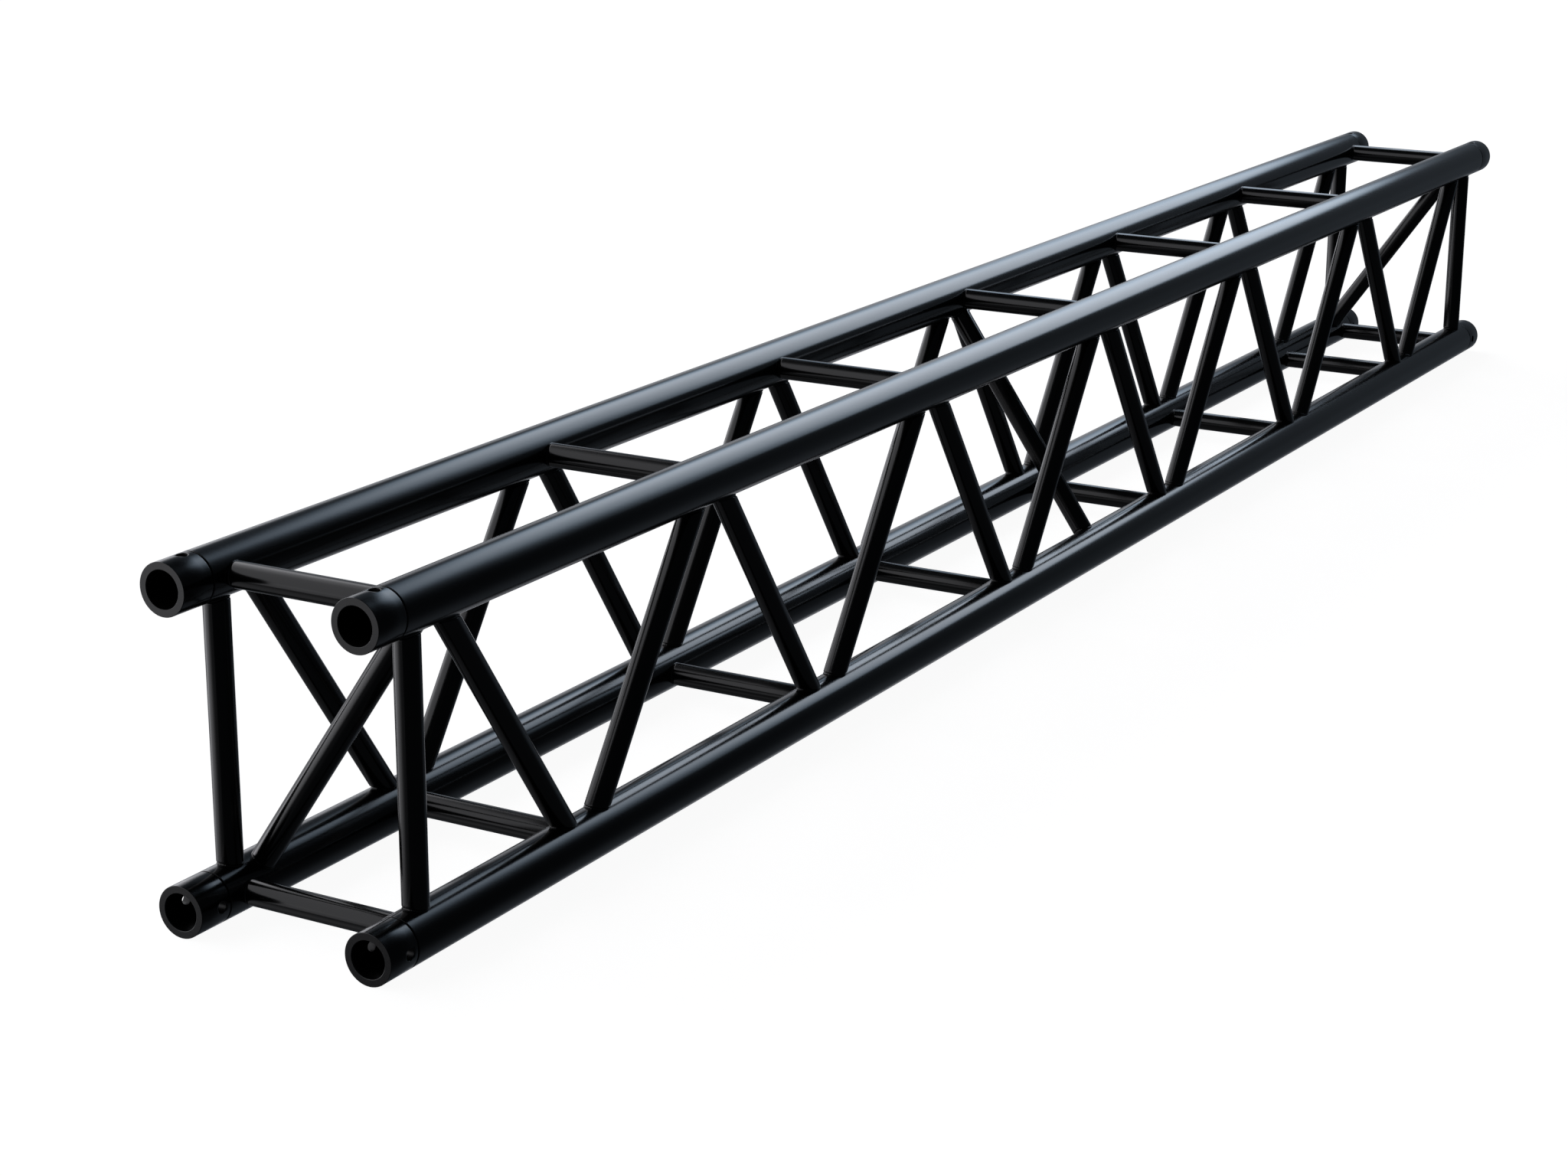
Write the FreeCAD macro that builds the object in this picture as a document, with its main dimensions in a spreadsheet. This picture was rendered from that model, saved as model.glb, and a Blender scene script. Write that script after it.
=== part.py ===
import FreeCAD, Part
import os
import Sketcher
from FreeCAD import Vector, Rotation, Placement

# Four-chord rectangular lighting truss section, welded from round aluminium tube.
#
# Frame: +X along the length (end A at -X, end B at +X), +Y to the left when
# looking from A to B, +Z up.  The origin is the centre of the underside, so the
# two bottom chords rest on z = 0.
#
# Every tube, end receiver and weld group is its own solid.  Brace ends are
# coped to the round chord and stop short of it by the root gap that the
# weld ring fills.

os.makedirs("parts", exist_ok=True)
doc = FreeCAD.newDocument("truss_section")

# --------------------------------------------------------------- dimensions
sheet = doc.addObject("Spreadsheet::Sheet", "dims")
DIMS = [
    ("length_total", 3000.0),     # end face to end face
    ("width_cc", 208.0),          # chord axis to chord axis, across
    ("height_cc", 300.0),         # chord axis to chord axis, up
    ("chord_od", 50.0),
    ("chord_wall", 3.0),
    ("brace_od", 25.0),
    ("brace_wall", 2.0),
    ("post_inset", 70.0),         # end frame axis, from the end face
    ("node_inset", 96.0),         # first top node, from the end face
    ("bay_pitch", 468.0),         # top node to top node
    ("node_offset", 12.4),        # brace axis to node, measured on the chord axis
    ("cross_inset", 101.0),       # end cross brace axis, from the end face
    ("root_gap", 1.2),            # weld gap between coped end and chord
    ("weld_ring_od", 23.6),       # brace weld ring, just inside the tube surface
    ("collar_len", 38.8),         # receiver length in front of the chord tube
    ("seam_gap", 1.6),            # weld seam between receiver and chord tube
    ("spigot_len", 24.0),         # receiver length inside the chord tube
    ("spigot_play", 0.1),         # radial clearance of the spigot in the tube
    ("seam_depth", 0.9),          # the seam lies this far under the surface
    ("edge_bevel", 0.5),
    ("mouth_dia", 35.6),          # conical socket at the end face
    ("throat_dia", 30.6),         # conical socket at its inner end
    ("mouth_bevel", 0.6),
    ("pin_inset", 27.5),          # spigot-pin hole axis, from the end face
    ("pin_dia", 11.0),
    ("pin_bevel", 0.7),
]
V = {}
for i, (name, value) in enumerate(DIMS, start=1):
    sheet.set("A%d" % i, name)
    sheet.set("B%d" % i, repr(value))
    sheet.setAlias("B%d" % i, name)
    V[name] = value
doc.recompute()


def q(text):
    """Expression text with the sheet's aliases written as <<dims>>.alias."""
    out, word = [], ""
    for ch in text + " ":
        if ch.isalnum() or ch == "_":
            word += ch
            continue
        out.append("<<dims>>." + word if word in V else word)
        out.append(ch)
        word = ""
    return "".join(out).strip()


BAYS = 6
NODES = []          # finished sub-parts, in the order they are written


def plane(body, role):
    for feature in body.Origin.OriginFeatures:
        if feature.Role == role:
            return feature
    raise RuntimeError("no origin plane " + role)


def new_body(name):
    body = doc.addObject("PartDesign::Body", name)
    body.Label = name
    NODES.append(body)
    return body


def new_sketch(body, name, role, offset=None, offset_expr=()):
    sk = body.newObject("Sketcher::SketchObject", name)
    sk.AttachmentSupport = [(plane(body, role), "")]
    sk.MapMode = "FlatFace"
    if offset is not None:
        sk.AttachmentOffset = offset
    for path, expr in offset_expr:
        sk.setExpression("AttachmentOffset." + path, q(expr))
    return sk


def add_circle(sk, radius, expr, label, cy=0.0, cy_expr=None, cx=0.0, cx_expr=None):
    """Circle with a driven radius, centred on the origin or on driven distances."""
    g = sk.addGeometry(Part.Circle(Vector(cx, cy, 0), Vector(0, 0, 1), radius), False)
    if cy_expr is None and cx_expr is None:
        sk.addConstraint(Sketcher.Constraint("Coincident", g, 3, -1, 1))
    else:
        if cx_expr is None:
            sk.addConstraint(Sketcher.Constraint("PointOnObject", g, 3, -2))
        else:
            c = sk.addConstraint(Sketcher.Constraint("DistanceX", -1, 1, g, 3, cx))
            sk.renameConstraint(c, label + "_cx")
            sk.setExpression("Constraints." + label + "_cx", q(cx_expr))
        if cy_expr is None:
            sk.addConstraint(Sketcher.Constraint("PointOnObject", g, 3, -1))
        else:
            c = sk.addConstraint(Sketcher.Constraint("DistanceY", -1, 1, g, 3, cy))
            sk.renameConstraint(c, label + "_cy")
            sk.setExpression("Constraints." + label + "_cy", q(cy_expr))
    c = sk.addConstraint(Sketcher.Constraint("Radius", g, radius))
    sk.renameConstraint(c, label + "_rad")
    sk.setExpression("Constraints." + label + "_rad", q(expr))
    return g


def add_profile(sk, points, exprs):
    """Closed polygon; each corner's coordinates are driven by expressions."""
    n = len(points)
    for i in range(n):
        a, b = points[i], points[(i + 1) % n]
        sk.addGeometry(Part.LineSegment(Vector(a[0], a[1], 0), Vector(b[0], b[1], 0)), False)
    for i in range(n):
        sk.addConstraint(Sketcher.Constraint("Coincident", i, 2, (i + 1) % n, 1))
    for i in range(n):
        for axis, kind, k in (("x", "DistanceX", 0), ("y", "DistanceY", 1)):
            c = sk.addConstraint(Sketcher.Constraint(kind, -1, 1, i, 1, points[i][k]))
            nm = "p%d%s" % (i, axis)
            sk.renameConstraint(c, nm)
            sk.setExpression("Constraints." + nm, q(exprs[i][k]))


def place(obj, base_exprs, axis=None, angle=0.0, angle_expr=None):
    """Placement with driven position and, where it leans, a driven angle."""
    rot = Rotation(Vector(*axis), angle) if axis else Rotation()
    obj.Placement = Placement(Vector(0, 0, 0), rot)
    for k, expr in zip("xyz", base_exprs):
        if expr is not None:
            obj.setExpression("Placement.Base." + k, q(expr))
    if angle_expr is not None:
        obj.setExpression("Placement.Rotation.Angle", q(angle_expr))


# heights and sides of the chord axes
Y_OF = {"left": "width_cc/2", "right": "-width_cc/2"}
Z_OF = {"bottom": "chord_od/2", "top": "chord_od/2 + height_cc"}

# ------------------------------------------------------------------- chords
# Plain round tube between the two receivers; outer edges bevelled for the seam.
for level in ("top", "bottom"):
    for side in ("left", "right"):
        name = "chord_%s_%s" % (level, side)
        body = new_body(name)
        sk = new_sketch(body, name + "_section", "YZ_Plane")
        add_circle(sk, V["chord_od"] / 2, "chord_od/2", "outer")
        add_circle(sk, V["chord_od"] / 2 - V["chord_wall"], "chord_od/2 - chord_wall", "inner")
        pad = body.newObject("PartDesign::Pad", name + "_tube")
        pad.Profile = sk
        pad.Midplane = True
        pad.Length = V["length_total"] - 2 * (V["collar_len"] + V["seam_gap"])
        pad.setExpression("Length", q("length_total - 2*(collar_len + seam_gap)"))
        doc.recompute()
        rim = []
        for k, e in enumerate(pad.Shape.Edges, start=1):
            if e.Curve.TypeId == "Part::GeomCircle" and e.Curve.Radius > V["chord_od"] / 2 - 0.01:
                rim.append("Edge%d" % k)
        ch = body.newObject("PartDesign::Chamfer", name + "_bevel")
        ch.Base = (pad, rim)
        ch.Size = V["edge_bevel"]
        ch.setExpression("Size", q("edge_bevel"))
        body.Tip = ch
        place(body, ("0 * chord_od", Y_OF[side], Z_OF[level]))
doc.recompute()

# ---------------------------------------------------------------- receivers
# Turned socket: collar as wide as the chord, spigot inside the tube, conical
# bore, and one cross hole for the tapered pin.  The hole is vertical in the top
# chords and horizontal in the bottom chords.  Local +X points into the truss.
R_OUT = V["chord_od"] / 2
R_SPIGOT = R_OUT - V["chord_wall"] - V["spigot_play"]
X_SPIGOT = V["collar_len"] + V["spigot_len"]
PROFILE = [     # corner, and the expressions that drive it
    (0, V["mouth_dia"] / 2 + V["mouth_bevel"], "0", "mouth_dia/2 + mouth_bevel"),
    (0, R_OUT - V["edge_bevel"], "0", "chord_od/2 - edge_bevel"),
    (V["edge_bevel"], R_OUT, "edge_bevel", "chord_od/2"),
    (V["collar_len"] - V["edge_bevel"], R_OUT, "collar_len - edge_bevel", "chord_od/2"),
    (V["collar_len"], R_OUT - V["edge_bevel"], "collar_len", "chord_od/2 - edge_bevel"),
    (V["collar_len"], R_SPIGOT, "collar_len", "chord_od/2 - chord_wall - spigot_play"),
    (X_SPIGOT - 1.5, R_SPIGOT, "collar_len + spigot_len - 1.5", "chord_od/2 - chord_wall - spigot_play"),
    (X_SPIGOT, R_SPIGOT - 1.5, "collar_len + spigot_len", "chord_od/2 - chord_wall - spigot_play - 1.5"),
    (X_SPIGOT, V["throat_dia"] / 2, "collar_len + spigot_len", "throat_dia/2"),
    (V["mouth_bevel"], V["mouth_dia"] / 2, "mouth_bevel", "mouth_dia/2"),
]

for end in ("a", "b"):
    for level in ("top", "bottom"):
        for side in ("left", "right"):
            name = "receiver_%s_%s_%s" % (end, level, side)
            body = new_body(name)
            sk = new_sketch(body, name + "_profile", "XZ_Plane")
            add_profile(sk, [(c[0], c[1]) for c in PROFILE], [(c[2], c[3]) for c in PROFILE])
            rev = body.newObject("PartDesign::Revolution", name + "_turned")
            rev.Profile = sk
            rev.ReferenceAxis = (sk, ["H_Axis"])
            rev.Angle = 360.0
            doc.recompute()
            solid_before = rev.Shape.Volume
            # cross hole: its circle lies on the plane it is drilled through
            role = "XY_Plane" if level == "top" else "XZ_Plane"
            hs = new_sketch(body, name + "_pin_circle", role)
            add_circle(hs, V["pin_dia"] / 2, "pin_dia/2", "pin", cx=V["pin_inset"], cx_expr="pin_inset")
            hole = body.newObject("PartDesign::Pocket", name + "_pin_hole")
            hole.Profile = hs
            hole.Type = 1          # through all
            hole.Midplane = True
            doc.recompute()
            if not hole.Shape.Volume < solid_before - 500:
                raise RuntimeError("pin hole cut nothing in " + name)
            rim = []
            for k, e in enumerate(hole.Shape.Edges, start=1):
                bb = e.BoundBox
                centre = bb.Center
                w = centre.z if level == "top" else centre.y
                small = bb.XLength < V["pin_dia"] + 0.1 and abs(centre.x - V["pin_inset"]) < 0.6
                if small and abs(w) > V["chord_od"] / 2 - 1.5:
                    rim.append("Edge%d" % k)
            ch = body.newObject("PartDesign::Chamfer", name + "_pin_bevel")
            ch.Base = (hole, rim)
            ch.Size = V["pin_bevel"]
            ch.setExpression("Size", q("pin_bevel"))
            body.Tip = ch
            if end == "a":
                place(body, ("-length_total/2", Y_OF[side], Z_OF[level]))
            else:
                place(body, ("length_total/2", Y_OF[side], Z_OF[level]), (0, 0, 1), 180.0)
doc.recompute()

# ------------------------------------------------------------------- braces
# A brace is a tube along its own Z axis, centred on its middle, with both ends
# coped to the chords.  Its local X axis lies in the plane of the chord and the
# brace, so a leaning brace only needs the cope turned about local Y.
WELDS = []          # (name, placement expressions, lean, length) for the weld rings
HALF_LEAN = "(bay_pitch/2 - 2*node_offset)"          # run of a diagonal along X


def brace(name, base, length_expr, length, axis=None, angle=0.0, angle_expr=None,
          lean_expr=None, lean=0.0, extra=None):
    body = new_body(name)
    sk = new_sketch(body, name + "_section", "XY_Plane")
    add_circle(sk, V["brace_od"] / 2, "brace_od/2", "outer")
    add_circle(sk, V["brace_od"] / 2 - V["brace_wall"], "brace_od/2 - brace_wall", "inner")
    pad = body.newObject("PartDesign::Pad", name + "_tube")
    pad.Profile = sk
    pad.Midplane = True
    pad.Length = length
    pad.setExpression("Length", q(length_expr))
    doc.recompute()
    volume = pad.Shape.Volume
    last = pad
    for tag, sgn in (("upper", 1), ("lower", -1)):
        off = Placement(Vector(0, sgn * length / 2, 0), Rotation(Vector(1, 0, 0), lean))
        ex = [("Base.y", "%d*(%s)/2" % (sgn, length_expr))]
        if lean_expr:
            ex.append(("Rotation.Angle", lean_expr))
        cs = new_sketch(body, "%s_%s_circle" % (name, tag), "YZ_Plane", off, ex)
        add_circle(cs, V["chord_od"] / 2 + V["root_gap"], "chord_od/2 + root_gap", "cope")
        cut = body.newObject("PartDesign::Pocket", "%s_%s_cope" % (name, tag))
        cut.Profile = cs
        cut.Type = 1
        cut.Midplane = True
        doc.recompute()
        if not cut.Shape.Volume < volume - 1000:
            raise RuntimeError("cope cut nothing in " + name)
        volume = cut.Shape.Volume
        last = cut
    body.Tip = last
    place(body, base, axis, angle, angle_expr)
    return body


END_X = {"a": "-length_total/2", "b": "length_total/2"}
IN = {"a": "+", "b": "-"}
TOP_Z = Z_OF["top"]
BOT_Z = Z_OF["bottom"]
MID_Z = "chord_od/2 + height_cc/2"

# end posts, one upright in each side of each end frame
for end in ("a", "b"):
    for side in ("left", "right"):
        brace("end_post_%s_%s" % (end, side),
              ("%s %s post_inset" % (END_X[end], IN[end]), Y_OF[side], MID_Z),
              "height_cc", V["height_cc"])

# top rungs: one in each end frame and one at each inner top node
def rung(name, x_expr, z_expr):
    brace(name, (x_expr, "0 * chord_od", z_expr), "width_cc", V["width_cc"], (1, 0, 0), -90.0)


rung("top_rung_end_a", "-length_total/2 + post_inset", TOP_Z)
for i in range(1, BAYS):
    rung("top_rung_%d" % i, "-length_total/2 + node_inset + %d*bay_pitch" % i, TOP_Z)
rung("top_rung_end_b", "length_total/2 - post_inset", TOP_Z)

# bottom rungs: one in each end frame and one at each bottom node
rung("bottom_rung_end_a", "-length_total/2 + post_inset", BOT_Z)
for i in range(BAYS):
    rung("bottom_rung_%d" % (i + 1),
         "-length_total/2 + node_inset + (%d + 0.5)*bay_pitch" % i, BOT_Z)
rung("bottom_rung_end_b", "length_total/2 - post_inset", BOT_Z)

# side diagonals: each bay has one falling to the bottom node and one rising from it
DIAG_LEN = "sqrt(height_cc^2 + %s^2)" % HALF_LEAN
DIAG_LEAN = "atan(%s/height_cc)" % HALF_LEAN
import math
run = V["bay_pitch"] / 2 - 2 * V["node_offset"]
dlen = math.hypot(V["height_cc"], run)
dang = math.degrees(math.atan2(run, V["height_cc"]))
for side in ("left", "right"):
    for i in range(BAYS):
        for kind, sgn, frac in (("falling", -1, 0.25), ("rising", 1, 0.75)):
            name = "diagonal_%s_%d_%s" % (side, i + 1, kind)
            brace(name,
                  ("-length_total/2 + node_inset + (%d + %s)*bay_pitch" % (i, frac), Y_OF[side], MID_Z),
                  DIAG_LEN, dlen, (0, 1, 0), sgn * dang, "%d*%s" % (sgn, DIAG_LEAN),
                  "%d*%s" % (-sgn, DIAG_LEAN), -sgn * dang)

# cross braces across the section: one behind each end frame, rising from the
# bottom left chord to the top right one, and one at mid length the other way
CROSS_LEN = "sqrt(height_cc^2 + width_cc^2)"
CROSS_ANG = "atan(width_cc/height_cc)"
clen = math.hypot(V["height_cc"], V["width_cc"])
cang = math.degrees(math.atan2(V["width_cc"], V["height_cc"]))
for end in ("a", "b"):
    brace("cross_brace_end_%s" % end,
          ("%s %s cross_inset" % (END_X[end], IN[end]), "0 * chord_od", MID_Z),
          CROSS_LEN, clen, (1, 0, 0), cang, CROSS_ANG)
mid = brace("cross_brace_middle", ("0 * chord_od", "0 * chord_od", MID_Z),
            CROSS_LEN, clen, (1, 0, 0), -cang, "-1*" + CROSS_ANG)
# its upper end is also notched clear of the middle top rung
notch_off = Placement(Vector(0, 0, 0), Rotation(Vector(1, 0, 0), cang))
ns = new_sketch(mid, "cross_brace_middle_notch_circle", "XZ_Plane", notch_off,
                [("Base.y", CROSS_LEN + "/2"), ("Rotation.Angle", CROSS_ANG)])
add_circle(ns, V["brace_od"] / 2 + 0.4, "brace_od/2 + 0.4", "notch")
notch = mid.newObject("PartDesign::Pocket", "cross_brace_middle_notch")
notch.Profile = ns
notch.Type = 1
notch.Midplane = True
mid.Tip = notch
doc.recompute()

# -------------------------------------------------------------------- welds
# Brace welds: a ring in every root gap, between the chord surface and the
# coped tube end.  Shell sector = annulus about the brace axis, kept between the
# chord's radius and the cope radius.
R_CH = V["chord_od"] / 2
GAP = V["root_gap"]
R_RING = V["weld_ring_od"] / 2
R_IN = V["brace_od"] / 2 - V["brace_wall"]
chord_z = {"bottom": R_CH, "top": R_CH + V["height_cc"]}
chord_y = {"left": V["width_cc"] / 2, "right": -V["width_cc"] / 2}


def ring_at(centre, direction, chord_point, cutter=None):
    """Weld ring of a brace that leaves chord_point along direction."""
    d = Vector(*direction).normalize()
    start = Vector(*chord_point) + d * (R_CH * 0.5)
    outer = Part.makeCylinder(R_RING, R_CH * 1.5, start, d)
    inner = Part.makeCylinder(R_IN, R_CH * 1.5, start, d)
    cx = Vector(chord_point[0] - 60, chord_point[1], chord_point[2])
    shell = Part.makeCylinder(R_CH + GAP, 120, cx, Vector(1, 0, 0)).cut(
        Part.makeCylinder(R_CH, 120, cx, Vector(1, 0, 0)))
    ring = outer.cut(inner).common(shell)
    if cutter is not None:
        ring = ring.cut(cutter)
    solids = [s for s in ring.Solids if s.Volume > 5]
    if not solids:
        raise RuntimeError("empty weld ring at %s" % (centre,))
    return solids


rings = []


def weld_pair(p0, p1, cutters=(None, None)):
    a, b = Vector(*p0), Vector(*p1)
    rings.extend(ring_at(p0, tuple(b - a), p0, cutters[0]))
    rings.extend(ring_at(p1, tuple(a - b), p1, cutters[1]))


half = V["length_total"] / 2
for sx in (-1, 1):
    x = sx * (half - V["post_inset"])
    for side in ("left", "right"):
        weld_pair((x, chord_y[side], chord_z["bottom"]), (x, chord_y[side], chord_z["top"]))
for level, xs in (
        ("top", [-half + V["post_inset"]] + [-half + V["node_inset"] + i * V["bay_pitch"] for i in range(1, BAYS)]
         + [half - V["post_inset"]]),
        ("bottom", [-half + V["post_inset"]] + [-half + V["node_inset"] + (i + 0.5) * V["bay_pitch"] for i in range(BAYS)]
         + [half - V["post_inset"]])):
    for x in xs:
        weld_pair((x, chord_y["right"], chord_z[level]), (x, chord_y["left"], chord_z[level]))
for side in ("left", "right"):
    for i in range(BAYS):
        xt0 = -half + V["node_inset"] + i * V["bay_pitch"] + V["node_offset"]
        xb = -half + V["node_inset"] + (i + 0.5) * V["bay_pitch"]
        xt1 = -half + V["node_inset"] + (i + 1) * V["bay_pitch"] - V["node_offset"]
        weld_pair((xb - V["node_offset"], chord_y[side], chord_z["bottom"]), (xt0, chord_y[side], chord_z["top"]))
        weld_pair((xb + V["node_offset"], chord_y[side], chord_z["bottom"]), (xt1, chord_y[side], chord_z["top"]))
for sx in (-1, 1):
    x = sx * (half - V["cross_inset"])
    weld_pair((x, chord_y["left"], chord_z["bottom"]), (x, chord_y["right"], chord_z["top"]))
rung_zone = Part.makeCylinder(V["brace_od"] / 2 + 0.4, 400, Vector(0, -200, chord_z["top"]), Vector(0, 1, 0))
weld_pair((0, chord_y["right"], chord_z["bottom"]), (0, chord_y["left"], chord_z["top"]), (None, rung_zone))

brace_welds = doc.addObject("Part::Feature", "brace_weld_beads")
brace_welds.Label = "brace_weld_beads"
brace_welds.Shape = Part.makeCompound(rings)
brace_welds.Placement = Placement(Vector(0, 0, 0), Rotation())
NODES.append(brace_welds)

# Receiver welds: a ring in each seam between collar and chord tube, lying just
# under the surface so the seam reads as a thin groove.
seams = []
for sx in (-1, 1):
    for side in ("left", "right"):
        for level in ("top", "bottom"):
            x0 = sx * half - sx * V["collar_len"]
            p = Vector(x0, chord_y[side], chord_z[level])
            d = Vector(-sx, 0, 0)
            r_out = R_CH - V["seam_depth"]
            r_in = R_CH - V["chord_wall"] - V["spigot_play"]
            seams.append(Part.makeCylinder(r_out, V["seam_gap"], p, d).cut(
                Part.makeCylinder(r_in, V["seam_gap"], p, d)))
receiver_welds = doc.addObject("Part::Feature", "receiver_weld_beads")
receiver_welds.Label = "receiver_weld_beads"
receiver_welds.Shape = Part.makeCompound([s for c in seams for s in c.Solids])
receiver_welds.Placement = Placement(Vector(0, 0, 0), Rotation())
NODES.append(receiver_welds)

doc.recompute()

# ------------------------------------------------------------------- checks
for obj in doc.Objects:
    bad = [w for w in obj.State if w in ("Invalid", "Error")]
    if bad:
        raise RuntimeError("%s is %s" % (obj.Label, bad))
if len(NODES) > 60:
    raise RuntimeError("too many sub-parts: %d" % len(NODES))
for obj in NODES:
    shape = obj.Shape
    if shape.isNull() or not shape.isValid() or not shape.Solids:
        raise RuntimeError("bad shape: " + obj.Label)
    if obj.TypeId == "PartDesign::Body" and len(shape.Solids) != 1:
        raise RuntimeError("%s has %d solids" % (obj.Label, len(shape.Solids)))

for obj in NODES:
    obj.Shape.exportStep("parts/%s.step" % obj.Label)

bb = FreeCAD.BoundBox()
for obj in NODES:
    bb.add(obj.Shape.BoundBox)
print("nodes", len(NODES), "size", round(bb.XLength, 3), round(bb.YLength, 3), round(bb.ZLength, 3))
print("weld rings", len(rings), "volume cm3", round(sum(o.Shape.Volume for o in NODES) / 1000, 2))
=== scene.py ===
import math
import bpy
import bmesh
import numpy as np
from mathutils import Vector, Matrix, noise


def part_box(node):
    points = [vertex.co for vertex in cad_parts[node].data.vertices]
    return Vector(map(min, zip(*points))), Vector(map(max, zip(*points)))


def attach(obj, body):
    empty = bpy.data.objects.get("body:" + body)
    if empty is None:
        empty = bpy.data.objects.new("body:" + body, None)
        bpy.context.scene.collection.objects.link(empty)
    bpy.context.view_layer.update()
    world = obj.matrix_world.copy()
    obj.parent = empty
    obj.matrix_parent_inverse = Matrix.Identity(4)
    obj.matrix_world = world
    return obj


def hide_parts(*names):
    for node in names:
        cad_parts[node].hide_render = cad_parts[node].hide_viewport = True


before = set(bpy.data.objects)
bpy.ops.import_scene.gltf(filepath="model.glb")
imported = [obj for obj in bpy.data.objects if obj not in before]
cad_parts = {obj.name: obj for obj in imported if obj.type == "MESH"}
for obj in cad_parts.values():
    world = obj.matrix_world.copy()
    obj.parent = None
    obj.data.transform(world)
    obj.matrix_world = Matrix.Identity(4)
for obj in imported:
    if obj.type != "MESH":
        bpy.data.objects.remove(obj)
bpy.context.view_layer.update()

# ----------------------------------------------------------------- dimensions
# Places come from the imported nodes; these are section sizes, in metres.
R_CH = 0.025           # chord radius
R_CHI = 0.022          # chord bore
R_BR = 0.0125          # brace radius
R_BRI = 0.0105         # brace bore
GAP = 0.0012           # root gap under a coped brace end
COLLAR = 0.0388        # receiver in front of the chord tube
SPIGOT = 0.024
MOUTH = 0.0178
THROAT = 0.0153
PIN_X = 0.0275
PIN_R = 0.0055
NODE_OFF = 0.0124
PITCH = 0.468


def mid(node):
    lo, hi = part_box(node)
    return (lo + hi) / 2


# chord axes (y, z) and the two end planes
AXIS = {}
for level in ("top", "bottom"):
    for side in ("left", "right"):
        c = mid("chord_%s_%s" % (level, side))
        AXIS[level, side] = (c.y, c.z)
X_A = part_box("receiver_a_top_left")[0].x
X_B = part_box("receiver_b_top_left")[1].x
EX = Vector((1, 0, 0))


def chord_point(x, level, side):
    y, z = AXIS[level, side]
    return Vector((x, y, z))


# ------------------------------------------------------------------ mesh kit
def make_object(name, verts, faces, materials, wear=None, mat_index=None, uvs=None,
                sharp_deg=38.0):
    me = bpy.data.meshes.new(name)
    me.from_pydata([tuple(v) for v in verts], [], faces)
    me.validate()
    for m in materials:
        me.materials.append(m)
    if mat_index is not None:
        for p, k in zip(me.polygons, mat_index):
            p.material_index = k
    bm = bmesh.new()
    bm.from_mesh(me)
    bmesh.ops.recalc_face_normals(bm, faces=bm.faces)
    lim = math.radians(sharp_deg)
    for f in bm.faces:
        f.smooth = True
    for e in bm.edges:
        if len(e.link_faces) == 2 and e.calc_face_angle(0.0) > lim:
            e.smooth = False
    bm.to_mesh(me)
    bm.free()
    if wear is not None:
        at = me.attributes.new("wear", "FLOAT", "POINT")
        at.data.foreach_set("value", np.asarray(wear, np.float32))
    if uvs is not None:
        layer = me.uv_layers.new(name="along")
        vi = np.zeros(len(me.loops), int)
        me.loops.foreach_get("vertex_index", vi)
        layer.data.foreach_set("uv", np.asarray(uvs, np.float32)[vi].ravel())
    ob = bpy.data.objects.new(name, me)
    bpy.context.scene.collection.objects.link(ob)
    return ob


def loft(name, rings, materials, ring_mat=None, wear=None, close=True, sharp_deg=38.0):
    """Closed tube mesh through rings of equal length; ring k to k+1, last to first."""
    n = len(rings[0])
    verts = [p for ring in rings for p in ring]
    faces, mats = [], []
    count = len(rings)
    last = count if close else count - 1
    for k in range(last):
        a, b = k * n, ((k + 1) % count) * n
        for j in range(n):
            j2 = (j + 1) % n
            faces.append((a + j, a + j2, b + j2, b + j))
            mats.append(ring_mat[k] if ring_mat else 0)
    w = None
    if wear is not None:
        w = [wear[k] for k in range(count) for _ in range(n)]
    uv, run = [], 0.0
    for k, ring in enumerate(rings):
        if k:
            run += (Vector(ring[0]) - Vector(rings[k - 1][0])).length
        for j in range(n):
            uv.append((j / n, run))
    return make_object(name, verts, faces, materials, w, mats, uv, sharp_deg)


def basis(d):
    d = d.normalized()
    ref = Vector((0, 0, 1)) if abs(d.z) < 0.9 else Vector((1, 0, 0))
    u = d.cross(ref).normalized()
    return d, u, d.cross(u).normalized()


def reach(e, d, c, rho):
    """Distance along d at which a line offset by e meets a round bar of radius rho on axis c."""
    ep = e - c * e.dot(c)
    dp = d - c * d.dot(c)
    a, b, q = dp.length_squared, ep.dot(dp), ep.length_squared - rho * rho
    return (-b + math.sqrt(max(b * b - a * q, 0.0))) / a


# ----------------------------------------------------------------- materials
def nodes_of(mat):
    mat.use_nodes = True
    nt = mat.node_tree
    nt.nodes.clear()
    return nt


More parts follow.
